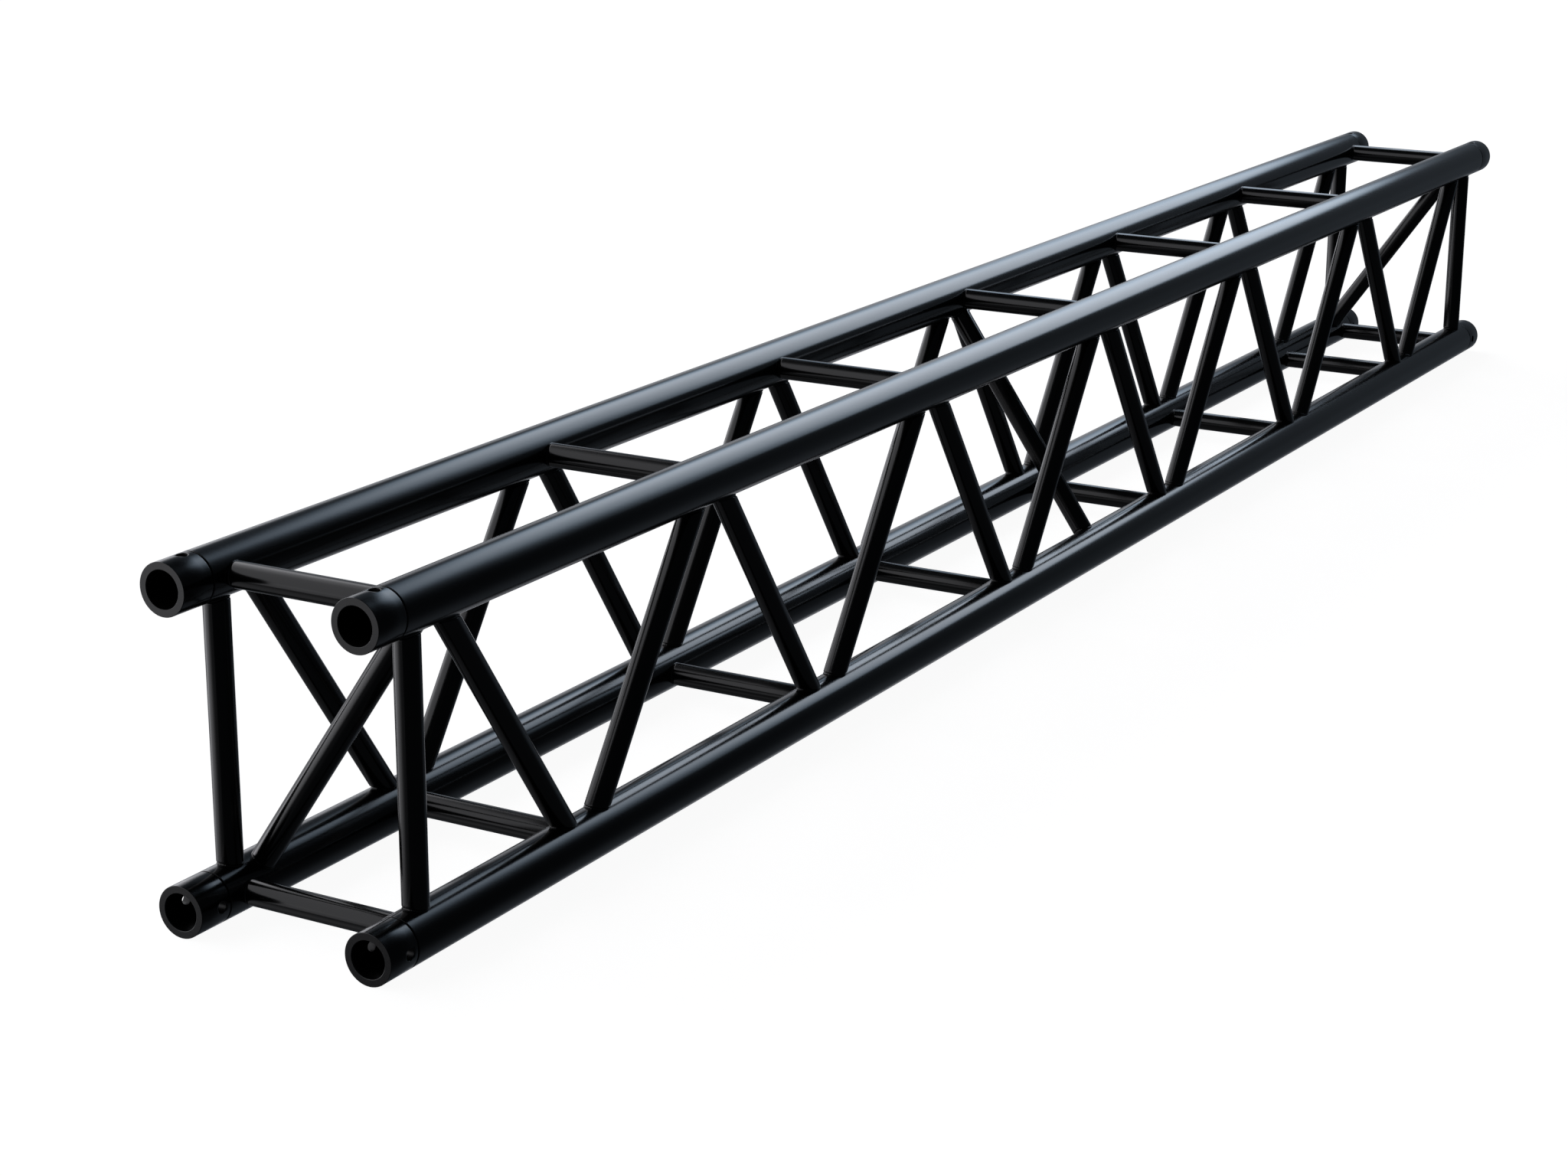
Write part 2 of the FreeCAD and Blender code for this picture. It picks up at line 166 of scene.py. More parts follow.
class Net:
    """Small helper to wire shader nodes."""

    def __init__(self, name):
        self.mat = bpy.data.materials.new(name)
        self.nt = nodes_of(self.mat)

    def n(self, kind, **props):
        node = self.nt.nodes.new(kind)
        for k, v in props.items():
            if k.startswith("in_"):
                key = k[3:]
                node.inputs[int(key) if key.isdigit() else key.replace("_", " ")].default_value = v
            else:
                setattr(node, k, v)
        return node

    def link(self, a, b):
        self.nt.links.new(a, b)

    def math(self, op, a, b=None, c=None, clamp=False):
        node = self.nt.nodes.new("ShaderNodeMath")
        node.operation = op
        node.use_clamp = clamp
        for i, v in enumerate((a, b, c)):
            if v is None:
                continue
            if isinstance(v, (int, float)):
                node.inputs[i].default_value = v
            else:
                self.link(v, node.inputs[i])
        return node.outputs[0]

    def ramp(self, src, stops, interp="LINEAR"):
        node = self.nt.nodes.new("ShaderNodeValToRGB")
        node.color_ramp.interpolation = interp
        el = node.color_ramp.elements
        while len(el) > 1:
            el.remove(el[-1])
        el[0].position = stops[0][0]
        el[0].color = stops[0][1]
        for pos, col in stops[1:]:
            x = el.new(pos)
            x.color = col
        self.link(src, node.inputs[0])
        return node.outputs[0]

    def mix(self, fac, a, b):
        node = self.nt.nodes.new("ShaderNodeMix")
        node.data_type = "RGBA"
        for sock, v in ((node.inputs[0], fac), (node.inputs[6], a), (node.inputs[7], b)):
            if isinstance(v, (int, float)):
                sock.default_value = v
            elif isinstance(v, tuple):
                sock.default_value = v
            else:
                self.link(v, sock)
        return node.outputs[2]


def grey(v, blue=0.0):
    return (v, v * (1 + 0.3 * blue), v * (1 + blue), 1.0)


def coat(name, base=0.011, rough=0.25, peel=0.05, wear_col=0.05, dust=0.5, seed=0.0,
         turned=False, spec=0.5, rubbed=0.30):
    """Powder coat on aluminium: near-black, satin gloss, with orange peel in the
    gloss, faint length-wise handling marks, dust and rubbed edges."""
    t = Net(name)
    tc = t.n("ShaderNodeTexCoord")
    geo = tc.outputs["Object"]
    uvn = t.n("ShaderNodeUVMap", uv_map="along")
    # large soft unevenness of the coat
    big = t.n("ShaderNodeTexNoise", in_Scale=9.0, in_Detail=3.0, in_Roughness=0.55)
    t.link(geo, big.inputs["Vector"])
    shift = t.n("ShaderNodeVectorMath", operation="ADD")
    t.link(geo, shift.inputs[0])
    shift.inputs[1].default_value = (seed * 3.1, seed * 1.7, seed)
    # fine mottling, a few millimetres across
    fine = t.n("ShaderNodeTexNoise", in_Scale=260.0, in_Detail=4.0, in_Roughness=0.6)
    t.link(shift.outputs[0], fine.inputs["Vector"])
    # handling marks: thin streaks along the tube
    sc = t.n("ShaderNodeMapping")
    sc.inputs["Scale"].default_value = (46.0, 5.0, 1.0)
    sc.inputs["Location"].default_value = (seed * 7.3, seed * 2.9, seed)
    t.link(uvn.outputs[0], sc.inputs["Vector"])
    streak = t.n("ShaderNodeTexNoise", in_Scale=1.6, in_Detail=6.0, in_Roughness=0.7)
    t.link(sc.outputs[0], streak.inputs["Vector"])
    mark = t.ramp(streak.outputs[0], [(0.60, grey(0)), (0.66, grey(1)), (0.70, grey(0))])
    # specks of dust
    vor = t.n("ShaderNodeTexVoronoi", in_Scale=520.0, in_Randomness=1.0)
    t.link(shift.outputs[0], vor.inputs["Vector"])
    speck = t.ramp(vor.outputs["Distance"], [(0.0, grey(1)), (0.07, grey(1)), (0.11, grey(0))])
    keep = t.ramp(vor.outputs["Color"], [(0.90, grey(0)), (0.93, grey(1))])
    specks = t.math("MULTIPLY", speck, keep)
    # rubbed edges, from the mesh's own edge mask
    att = t.n("ShaderNodeAttribute", attribute_name="wear")
    rub = t.n("ShaderNodeTexNoise", in_Scale=420.0, in_Detail=5.0, in_Roughness=0.7)
    t.link(shift.outputs[0], rub.inputs["Vector"])
    edge = t.math("MULTIPLY", att.outputs["Fac"], t.math("MULTIPLY_ADD", rub.outputs[0], 2.4, -0.75, clamp=True), clamp=True)

    c0 = t.mix(big.outputs[0], grey(base * 0.80), grey(base * 1.25, 0.06))
    c1 = t.mix(t.math("MULTIPLY", fine.outputs[0], 0.35), c0, grey(base * 1.9))
    c2 = t.mix(t.math("MULTIPLY", mark, 0.02), c1, grey(0.06))
    c3 = t.mix(t.math("MULTIPLY", specks, 0.05 * dust), c2, grey(0.20))
    c4 = t.mix(t.math("MULTIPLY", edge, rubbed), c3, grey(wear_col))

    r0 = t.math("MULTIPLY_ADD", big.outputs[0], 0.04, rough - 0.035)
    r1 = t.math("MULTIPLY_ADD", fine.outputs[0], 0.03, r0)
    r2 = t.math("MULTIPLY_ADD", mark, 0.035, r1)
    r3 = t.math("MULTIPLY_ADD", edge, 0.10, r2, clamp=True)

    # orange peel: about 1.5 mm cells, very shallow
    peel1 = t.n("ShaderNodeTexNoise", in_Scale=430.0, in_Detail=2.0, in_Roughness=0.45)
    t.link(shift.outputs[0], peel1.inputs["Vector"])
    height = t.math("MULTIPLY", peel1.outputs[0], 1.0)
    if turned:
        # concentric lathe marks round the tube axis
        wave = t.n("ShaderNodeTexWave", wave_type="BANDS", bands_direction="Y", in_Scale=520.0,
                   in_Distortion=0.6, in_Detail=1.0)
        t.link(uvn.outputs[0], wave.inputs["Vector"])
        height = t.math("MULTIPLY_ADD", wave.outputs["Fac"], 0.35, height)
    bump = t.n("ShaderNodeBump", in_Strength=peel, in_Distance=0.0004)
    t.link(height, bump.inputs["Height"])

    bsdf = t.n("ShaderNodeBsdfPrincipled")
    t.link(c4, bsdf.inputs["Base Color"])
    t.link(r3, bsdf.inputs["Roughness"])
    t.link(bump.outputs[0], bsdf.inputs["Normal"])
    bsdf.inputs["Specular IOR Level"].default_value = spec
    out = t.n("ShaderNodeOutputMaterial")
    t.link(bsdf.outputs[0], out.inputs["Surface"])
    return t.mat


M_CHORD = coat("chord_coat_black", base=0.0020, rough=0.165, peel=0.016, seed=0.0)
M_BRACE = coat("brace_coat_black", base=0.0018, rough=0.165, peel=0.016, seed=2.0)
M_RECV = coat("receiver_coat_black", base=0.0020, rough=0.160, peel=0.018, seed=5.0, rubbed=0.12)
M_FACE = coat("receiver_face_black", base=0.0040, rough=0.165, peel=0.030, seed=6.0, turned=True)
M_BORE = coat("receiver_bore_black", base=0.0012, rough=0.40, peel=0.050, seed=7.0)
M_WELD = coat("weld_coat_black", base=0.0016, rough=0.24, peel=0.070, seed=9.0)


# --------------------------------------------------------------------- chords
def chord(node, level, side):
    lo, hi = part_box(node)
    y, z = AXIS[level, side]
    n = 128
    b = 0.0005
    prof = [(0.0, R_CHI + 0.0003), (0.0, R_CH - b - 0.0003), (0.0, R_CH - b), (0.00008, R_CH - b * 0.55),
            (b * 0.55, R_CH - 0.00008), (b, R_CH), (b + 0.0004, R_CH)]
    L = hi.x - lo.x
    steps = 36
    body = [(0.02 + (L - 0.04) * i / steps, R_CH) for i in range(steps + 1)]
    other = [(L - x, r) for x, r in reversed(prof)]
    inner = [(L - 0.0003, R_CHI), (L * 0.5, R_CHI), (0.0003, R_CHI)]
    pts = prof + body + other + inner
    wearv = [0, 0.4, 1, 1, 1, 0.7, 0.0] + [0] * len(body) + [0.0, 0.7, 1, 1, 1, 0.4, 0] + [0, 0, 0]
    rings = []
    for x, r in pts:
        rings.append([(lo.x + x, y + r * math.cos(2 * math.pi * j / n), z + r * math.sin(2 * math.pi * j / n))
                      for j in range(n)])
    ob = loft(node + "_tube", rings, [M_CHORD], wear=wearv)
    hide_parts(node)
    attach(ob, "root")
    return ob


for level in ("top", "bottom"):
    for side in ("left", "right"):
        chord("chord_%s_%s" % (level, side), level, side)


# --------------------------------------------------------------------- braces
BRACES = []          # (P0, P1, notch) for the weld rings


def brace(node, p0, p1, notch=None):
    """Coped tube from the chord axis point p0 to p1, bevelled at both ends."""
    d, u, v = basis(p1 - p0)
    n = 72
    span = (p1 - p0).length
    end = [(R_BRI, 0.0262), (R_BRI + 0.0004, 0.0262), (R_BR - 0.0013, 0.0262), (R_BR - 0.0009, 0.02645),
           (R_BR - 0.0002, 0.0276), (R_BR - 0.00005, 0.0279), (R_BR, 0.0283), (R_BR, 0.0290)]
    endw = [0, 0, 0.6, 1, 1, 0.8, 0.3, 0]

    def ring(fn):
        out = []
        for j in range(n):
            a = 2 * math.pi * j / n
            out.append(fn(u * math.cos(a) + v * math.sin(a)))
        return out

    def at0(r, rho):
        def fn(e):
            e = e * r
            return p0 + e + d * reach(e, d, EX, rho)
        return fn

    def t1(e, rho):
        t = reach(e, -d, EX, rho)
        if notch is not None:
            t = max(t, reach(e, -d, notch, rho - 0.0133))
        return t

    def at1(r, rho):
        def fn(e):
            e = e * r
            return p1 + e - d * t1(e, rho)
        return fn

    rings = [ring(at0(r, rho)) for r, rho in end]
    wear = list(endw)
    for k in range(1, 8):
        f = k / 8

        def fn(e, f=f):
            e = e * R_BR
            a = reach(e, d, EX, 0.029)
            b = span - t1(e, 0.029)
            return p0 + e + d * (a + (b - a) * f)
        rings.append(ring(fn))
        wear.append(0)
    rings += [ring(at1(r, rho)) for r, rho in reversed(end)]
    wear += list(reversed(endw))
    rings.append(ring(lambda e: p0 + e * R_BRI + d * (span / 2)))
    wear.append(0)
    ob = loft(node + "_tube", rings, [M_BRACE], wear=wear, sharp_deg=50)
    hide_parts(node)
    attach(ob, "root")
    BRACES.append((p0, p1, notch))
    return ob


for end in ("a", "b"):
    for side in ("left", "right"):
        node = "end_post_%s_%s" % (end, side)
        x = mid(node).x
        brace(node, chord_point(x, "bottom", side), chord_point(x, "top", side))
    node = "cross_brace_end_" + end
    x = mid(node).x
    brace(node, chord_point(x, "bottom", "left"), chord_point(x, "top", "right"))
x = mid("cross_brace_middle").x
brace("cross_brace_middle", chord_point(x, "bottom", "right"), chord_point(x, "top", "left"),
      notch=Vector((0, 1, 0)))
for name in sorted(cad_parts):
    for level in ("top", "bottom"):
        if name.startswith(level + "_rung"):
            x = mid(name).x
            brace(name, chord_point(x, level, "right"), chord_point(x, level, "left"))
    if name.startswith("diagonal_"):
        _, side, num, kind = name.split("_")
        x = mid(name).x
        run = PITCH / 4 - NODE_OFF
        sgn = 1 if kind == "rising" else -1
        brace(name, chord_point(x - sgn * run, "bottom", side), chord_point(x + sgn * run, "top", side))


# ------------------------------------------------------------------ weld rings
def ripple(k, n, count, amp, seed):
    a = k / n * count
    f = a - math.floor(a)
    jitter = noise.noise(Vector((k * 0.21, seed * 3.7, 0.5)))
    return amp * (1.0 - (2 * f - 1) ** 2) + amp * 0.5 * jitter


def weld_ring_faces(verts, faces, path, normals, rad, segs, count, amp, seed):
    n = len(path)
    base = len(verts)
    for k in range(n):
        p, nn = path[k], normals[k]
        tan = (path[(k + 1) % n] - path[k - 1]).normalized()
        nn = (nn - tan * nn.dot(tan)).normalized()
        bb = tan.cross(nn)
        r = rad + ripple(k, n, count, amp, seed)
        for s in range(segs):
            a = 2 * math.pi * s / segs
            verts.append(p + (nn * math.cos(a) + bb * math.sin(a)) * r)
    for k in range(n):
        k2 = (k + 1) % n
        for s in range(segs):
            s2 = (s + 1) % segs
            faces.append((base + k * segs + s, base + k * segs + s2, base + k2 * segs + s2, base + k2 * segs + s))


verts, faces = [], []
for i, (p0, p1, notch) in enumerate(BRACES):
    for top in (False, True):
        a, b = (p1, p0) if top else (p0, p1)
        d, u, v = basis(b - a)
        n = 150
        path, nrm = [], []
        for k in range(n):
            ang = 2 * math.pi * k / n
            e = (u * math.cos(ang) + v * math.sin(ang))
            ee = e * 0.01125
            t = reach(ee, d, EX, 0.02545)
            if notch is not None and top:
                t = max(t, reach(ee, d, notch, 0.0128))
            path.append(a + ee + d * t)
            nrm.append(e)
        weld_ring_faces(verts, faces, path, nrm, 0.00095, 8, 34, 0.00022, i * 2 + top)
ob = make_object("brace_weld_rings", verts, faces, [M_WELD])
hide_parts("brace_weld_beads")
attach(ob, "root")

verts, faces = [], []
for i, (key, (y, z)) in enumerate(sorted(AXIS.items())):
    for end, x0, sgn in (("a", X_A, 1), ("b", X_B, -1)):
        n = 260
        path = [Vector((x0 + sgn * (COLLAR + 0.0008), y + 0.02275 * math.cos(2 * math.pi * k / n),
                        z + 0.02275 * math.sin(2 * math.pi * k / n))) for k in range(n)]
        nrm = [Vector((0, math.cos(2 * math.pi * k / n), math.sin(2 * math.pi * k / n))) for k in range(n)]
        weld_ring_faces(verts, faces, path, nrm, 0.00080, 8, 74, 0.00006, 40 + i * 2 + sgn)
ob = make_object("receiver_weld_rings", verts, faces, [M_WELD])
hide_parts("receiver_weld_beads")
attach(ob, "root")


# ------------------------------------------------------------------- receivers
def pin_cutter(radius, rim):
    """Cutter for the pin hole along local Z, flared where it leaves the round collar."""
    n = 96
    rings = []

    def ring(r, lift):
        out = []
        for j in range(n):
            a = 2 * math.pi * j / n
            x, y = r * math.cos(a), r * math.sin(a)
            h = math.sqrt(max(R_CH * R_CH - y * y, 0)) + lift
            out.append((x, y, h))
        return out
    steps = [(radius, -rim * 1.15), (radius + rim * 0.12, -rim * 0.62), (radius + rim * 0.42, -rim * 0.22),
             (radius + rim * 0.95, 0.00002), (radius + rim * 1.6, rim * 0.6), (radius + rim * 1.6, 0.004)]
    top = [ring(r, h) for r, h in steps]
    bottom = [[(x, y, -zz) for x, y, zz in rg] for rg in reversed(top)]
    rings = bottom + top
    verts = [p for rg in rings for p in rg]
    faces = []
    for k in range(len(rings) - 1):
        for j in range(n):
            j2 = (j + 1) % n
            faces.append((k * n + j, k * n + j2, (k + 1) * n + j2, (k + 1) * n + j))
    faces.append(tuple(reversed(range(n))))
    faces.append(tuple((len(rings) - 1) * n + j for j in range(n)))
    me = bpy.data.meshes.new("cutter")
    me.from_pydata(verts, [], faces)
    bm = bmesh.new()
    bm.from_mesh(me)
    bmesh.ops.recalc_face_normals(bm, faces=bm.faces)
    bm.to_mesh(me)
    bm.free()
    ob = bpy.data.objects.new("cutter", me)
    bpy.context.scene.collection.objects.link(ob)
    return ob


def receiver_mesh():
    """Receiver about local +X (mouth at x = 0), pin hole along local Z."""
    n = 144
    b = 0.0005
    R_SP = R_CHI - 0.0001
    prof = [(0.0006, MOUTH), (0.00028, MOUTH + 0.00022), (0.0, MOUTH + 0.0006), (0.0, MOUTH + 0.0009),
            (0.0, R_CH - b - 0.0003), (0.0, R_CH - b), (0.00008, R_CH - b * 0.55), (b * 0.55, R_CH - 0.00008),
            (b, R_CH), (b + 0.0004, R_CH), (0.006, R_CH), (0.010, R_CH), (0.014, R_CH), (0.0175, R_CH),
            (0.021, R_CH), (0.024, R_CH), (0.030, R_CH), (0.035, R_CH),
            (COLLAR - b - 0.0004, R_CH), (COLLAR - b, R_CH), (COLLAR - b * 0.55, R_CH - 0.00008),
            (COLLAR - 0.00008, R_CH - b * 0.55), (COLLAR, R_CH - b), (COLLAR, R_SP),
            (COLLAR + SPIGOT - 0.0015, R_SP), (COLLAR + SPIGOT, R_SP - 0.0015), (COLLAR + SPIGOT, THROAT),
            (0.035, MOUTH + (THROAT - MOUTH) * (0.035 / (COLLAR + SPIGOT))),
            (0.020, MOUTH + (THROAT - MOUTH) * (0.020 / (COLLAR + SPIGOT))),
            (0.0012, MOUTH - 0.00003)]
    verts = [(x, r * math.cos(2 * math.pi * j / n), r * math.sin(2 * math.pi * j / n)) for x, r in prof for j in range(n)]
    faces = []
    m = len(prof)
    for k in range(m):
        a, c = k * n, ((k + 1) % m) * n
        for j in range(n):
            j2 = (j + 1) % n
            faces.append((a + j, a + j2, c + j2, c + j))
    me = bpy.data.meshes.new("receiver_base")
    me.from_pydata(verts, [], faces)
    bm = bmesh.new()
    bm.from_mesh(me)
    bmesh.ops.recalc_face_normals(bm, faces=bm.faces)
    bm.to_mesh(me)
    bm.free()
    base = bpy.data.objects.new("receiver_base", me)
    bpy.context.scene.collection.objects.link(base)
    cut = pin_cutter(PIN_R, 0.0005)
    cut.location = (PIN_X, 0, 0)
    mod = base.modifiers.new("hole", "BOOLEAN")
    mod.operation = "DIFFERENCE"
    mod.solver = "EXACT"
    mod.object = cut
    bpy.context.view_layer.objects.active = base
    bpy.ops.object.modifier_apply(modifier="hole")
    done = base.data
    bpy.data.objects.remove(base)
    bpy.data.objects.remove(cut)
    return done


RECEIVER = receiver_mesh()


def receiver(node, end, level, side):
    y, z = AXIS[level, side]
    me = RECEIVER.copy()
    me.name = node
    sx = 1 if end == "a" else -1
    x0 = X_A if end == "a" else X_B
    turn = Matrix.Identity(4) if level == "top" else Matrix.Rotation(math.pi / 2, 4, "X")
    flip = Matrix.Identity(4) if end == "a" else Matrix.Rotation(math.pi, 4, "Z")
    me.materials.clear()
    for m in (M_RECV, M_FACE, M_BORE):
        me.materials.append(m)
    # edge mask, parts and shading are set in the local frame
    co = np.zeros(len(me.vertices) * 3)
    me.vertices.foreach_get("co", co)
    co = co.reshape(-1, 3)
    rr = np.hypot(co[:, 1], co[:, 2])
    ph = np.hypot(co[:, 0] - PIN_X, co[:, 1])
    wear = np.zeros(len(co))
    wear = np.maximum(wear, np.where((co[:, 0] < 0.0006) & (rr > R_CH - 0.0006), 1.0, 0))
    wear = np.maximum(wear, np.where((co[:, 0] < 0.0007) & (rr < MOUTH + 0.0007), 1.0, 0))
    wear = np.maximum(wear, np.where((np.abs(co[:, 0] - COLLAR) < 0.0006) & (rr > R_CH - 0.0006), 0.7, 0))
    wear = np.maximum(wear, np.where((ph < PIN_R + 0.0009) & (rr > R_CH - 0.0012), 0.8, 0))
    uv = np.stack([np.arctan2(co[:, 1], co[:, 2]) / (2 * math.pi), np.where(co[:, 0] < 1e-6, rr, co[:, 0] + 0.03)], 1)
    bm = bmesh.new()
    bm.from_mesh(me)
    for f in bm.faces:
        c = f.calc_center_median()
        r = math.hypot(c.y, c.z)
        in_bore = r < MOUTH + 0.0001 and math.hypot(c.x - PIN_X, c.y) > PIN_R - 0.0002
        f.smooth = True
        if c.x < 1e-5:
            f.material_index = 1
        elif r < MOUTH + 0.00001 or (math.hypot(c.x - PIN_X, c.y) < PIN_R + 0.00005 and r < R_CH - 0.0009):
            f.material_index = 2
        else:
            f.material_index = 0
    for e in bm.edges:
        if len(e.link_faces) == 2 and e.calc_face_angle(0.0) > math.radians(38):
            e.smooth = False
    bm.to_mesh(me)
    bm.free()
    at = me.attributes.new("wear", "FLOAT", "POINT")
    at.data.foreach_set("value", wear.astype(np.float32))
    layer = me.uv_layers.new(name="along")
    vi = np.zeros(len(me.loops), int)
    me.loops.foreach_get("vertex_index", vi)
    layer.data.foreach_set("uv", uv[vi].astype(np.float32).ravel())
    # exact normals on the cone, the hole and the flats, and leaned ones on the collar
    nrm = np.zeros(len(me.loops) * 3)
    me.corner_normals.foreach_get("vector", nrm)
    nrm = nrm.reshape(-1, 3)
    slope = (MOUTH - THROAT) / (COLLAR + SPIGOT)
    for p in me.polygons:
        idx = np.array(p.vertices)
        pc, pr, pp = co[idx], rr[idx], ph[idx]
        ls = slice(p.loop_start, p.loop_start + p.loop_total)
        if np.all(np.abs(pr - R_CH) < 3e-6):
            # the collar's normals lean as on a very slightly crowned collar; the mesh itself stays straight
            lean = np.radians(np.interp(pc[:, 0], [0.0115, 0.0205, 0.0300, 0.0360], [3.0, 0.0, -2.8, -2.8]))
            nrm[ls] = np.stack([-np.sin(lean), np.cos(lean) * pc[:, 1] / pr, np.cos(lean) * pc[:, 2] / pr], 1)
        elif np.all(np.abs(pp - PIN_R) < 3e-6):
            nrm[ls] = np.stack([-(pc[:, 0] - PIN_X) / pp, -pc[:, 1] / pp, 0 * pp], 1)
        elif abs(p.normal.x) > 0.9999:
            nrm[ls] = np.array(p.normal)
        elif np.all(pr < MOUTH + 2e-6) and abs(p.normal.x) < 0.2 and not np.any(pp < PIN_R - 2e-6):
            nn = np.stack([0 * pr - slope, -pc[:, 1] / pr, -pc[:, 2] / pr], 1)
            nrm[ls] = nn / np.linalg.norm(nn, axis=1, keepdims=True)
    me.normals_split_custom_set([tuple(v) for v in nrm])
    ob = bpy.data.objects.new(node + "_socket", me)
    bpy.context.scene.collection.objects.link(ob)
    me.transform(Matrix.Translation((x0, y, z)) @ flip @ turn)
    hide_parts(node)
    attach(ob, "root")
    return ob


for end in ("a", "b"):
    for level in ("top", "bottom"):
        for side in ("left", "right"):
            receiver("receiver_%s_%s_%s" % (end, level, side), end, level, side)
bpy.data.meshes.remove(RECEIVER)

# ----------------------------------------------------------------------- stage
def disc(name, radius, z, n=128):
    me = bpy.data.meshes.new(name)
    verts = [(radius * math.cos(2 * math.pi * i / n), radius * math.sin(2 * math.pi * i / n), z) for i in range(n)]
    me.from_pydata(verts, [], [tuple(range(n))])
    ob = bpy.data.objects.new(name, me)
    bpy.context.scene.collection.objects.link(ob)
    return ob


floor = disc("studio_floor", 60.0, -0.0005)
fm = Net("studio_floor_white")
em = fm.n("ShaderNodeEmission")
em.inputs[0].default_value = (1, 1, 1, 1)
em.inputs[1].default_value = 0.945
df = fm.n("ShaderNodeBsdfDiffuse")
df.inputs[0].default_value = (0.30, 0.30, 0.30, 1)
add = fm.n("ShaderNodeAddShader")
fm.link(em.outputs[0], add.inputs[0])
fm.link(df.outputs[0], add.inputs[1])
fo = fm.n("ShaderNodeOutputMaterial")
fm.link(add.outputs[0], fo.inputs[0])
floor.data.materials.append(fm.mat)
floor.visible_glossy = False
floor.visible_diffuse = False

# Studio round the object: soft panels written as smooth windows over the sky's
# azimuth and elevation, in degrees, and a plain white ground for the camera.
world = bpy.data.worlds.new("studio")
bpy.context.scene.world = world


class Sky(Net):
    def __init__(self, w):
        self.nt = nodes_of(w)

    def step(self, x, edge, soft):
        m = self.n("ShaderNodeMapRange", interpolation_type="SMOOTHSTEP", clamp=True)
        self.link(x, m.inputs["Value"])
        if isinstance(edge, (int, float)):
            m.inputs["From Min"].default_value = edge - soft
            m.inputs["From Max"].default_value = edge + soft
        else:
            self.link(self.math("SUBTRACT", edge, soft), m.inputs["From Min"])
            self.link(self.math("ADD", edge, soft), m.inputs["From Max"])
        return m.outputs["Result"]

    def window(self, x, lo, hi, soft_lo, soft_hi):
        up = self.step(x, lo, soft_lo)
        down = self.math("SUBTRACT", 1.0, self.step(x, hi, soft_hi))
        return self.math("MULTIPLY", up, down)

    def panel(self, az, el, value, a, sa, e, se):
        w = self.math("MULTIPLY", self.window(az, a[0], a[1], sa[0], sa[1]), self.window(el, e[0], e[1], se[0], se[1]))
        return self.math("MULTIPLY", w, value)


sky = Sky(world)
tc = sky.n("ShaderNodeTexCoord")
sep = sky.n("ShaderNodeSeparateXYZ")
sky.link(tc.outputs["Generated"], sep.inputs[0])
az = sky.math("MULTIPLY", sky.math("ARCTAN2", sep.outputs[1], sep.outputs[0]), 180 / math.pi)
el = sky.math("MULTIPLY", sky.math("ARCSINE", sep.outputs[2]), 180 / math.pi)
# big side panel on the left, its upper edge an arc, brighter towards the far end
dz = sky.math("SUBTRACT", az, 103.0)
arc = sky.math("SUBTRACT", 57.0, sky.math("MULTIPLY", sky.math("MULTIPLY", dz, dz), 0.0046))
side = sky.math("MULTIPLY", sky.window(az, 46.0, 170.0, 7.0, 9.0),
                sky.math("MULTIPLY", sky.step(el, -1.0, 12.0), sky.math("SUBTRACT", 1.0, sky.step(el, arc, 3.0))))
side = sky.math("MULTIPLY", side, sky.math("MAXIMUM", 0.92, sky.math("SUBTRACT", 1.9, sky.math(
    "MULTIPLY", sky.math("SUBTRACT", az, 64.0), 0.022))))
low = sky.panel(az, el, 0.48, (60.0, 89.0), (10.0, 5.0), (-30.0, -6.0), (8.0, 4.0))
# upright strip light, fading off slowly towards the near end
fade = sky.n("ShaderNodeFloatCurve")
sky.link(sky.math("MULTIPLY", sky.math("SUBTRACT", az, 80.0), 1.0 / 80.0, clamp=True), fade.inputs["Value"])
curve = fade.mapping.curves[0]
shape = [(0.0, 0.0), (0.06, 0.22), (0.13, 0.72), (0.19, 0.85), (0.25, 0.80), (0.30, 0.68), (0.40, 0.62), (0.50, 0.58),
         (0.60, 0.51), (0.70, 0.43), (0.80, 0.25), (0.90, 0.13), (1.0, 0.05)]
curve.points[0].location = shape[0]
curve.points[1].location = shape[-1]
for spot in shape[1:-1]:
    curve.points.new(*spot)
fade.mapping.update()
strip = sky.math("MULTIPLY", sky.math("MULTIPLY", fade.outputs[0], 2.6), sky.window(el, -21.0, 2.0, 4.5, 7.0))
ground_left = sky.panel(az, el, 0.20, (95.0, 138.0), (6.0, 10.0), (-52.0, -27.0), (7.0, 6.0))
front = sky.panel(az, el, 0.45, (20.0, 46.0), (7.0, 7.0), (-18.0, 16.0), (5.0, 4.0))
ground_far = sky.panel(az, el, 0.30, (8.0, 46.0), (10.0, 8.0), (-36.0, -17.0), (6.0, 4.0))
ground = sky.math("MULTIPLY", sky.math("SUBTRACT", 1.0, sky.step(el, -22.0, 10.0)),
                  sky.math("MULTIPLY_ADD", sky.window(az, 62.0, 168.0, 16.0, 10.0), 0.050, 0.012))
haze = sky.math("ADD", sky.panel(az, el, 0.055, (-30.0, 50.0), (12.0, 10.0), (-52.0, 40.0), (12.0, 10.0)),
                sky.panel(az, el, 0.040, (-30.0, 50.0), (12.0, 10.0), (-14.0, 40.0), (9.0, 10.0)))
white = None
for part in (side, low, strip, ground_left, front, ground_far, ground):
    white = part if white is None else sky.math("ADD", white, part)
warm = sky.n("ShaderNodeVectorMath", operation="SCALE")
warm.inputs[0].default_value = (0.985, 0.985, 1.03)
sky.link(white, warm.inputs["Scale"])
cool = sky.n("ShaderNodeVectorMath", operation="SCALE")
cool.inputs[0].default_value = (0.84, 1.0, 1.20)
sky.link(sky.math("ADD", haze, 0.018), cool.inputs["Scale"])
both = sky.n("ShaderNodeVectorMath", operation="ADD")
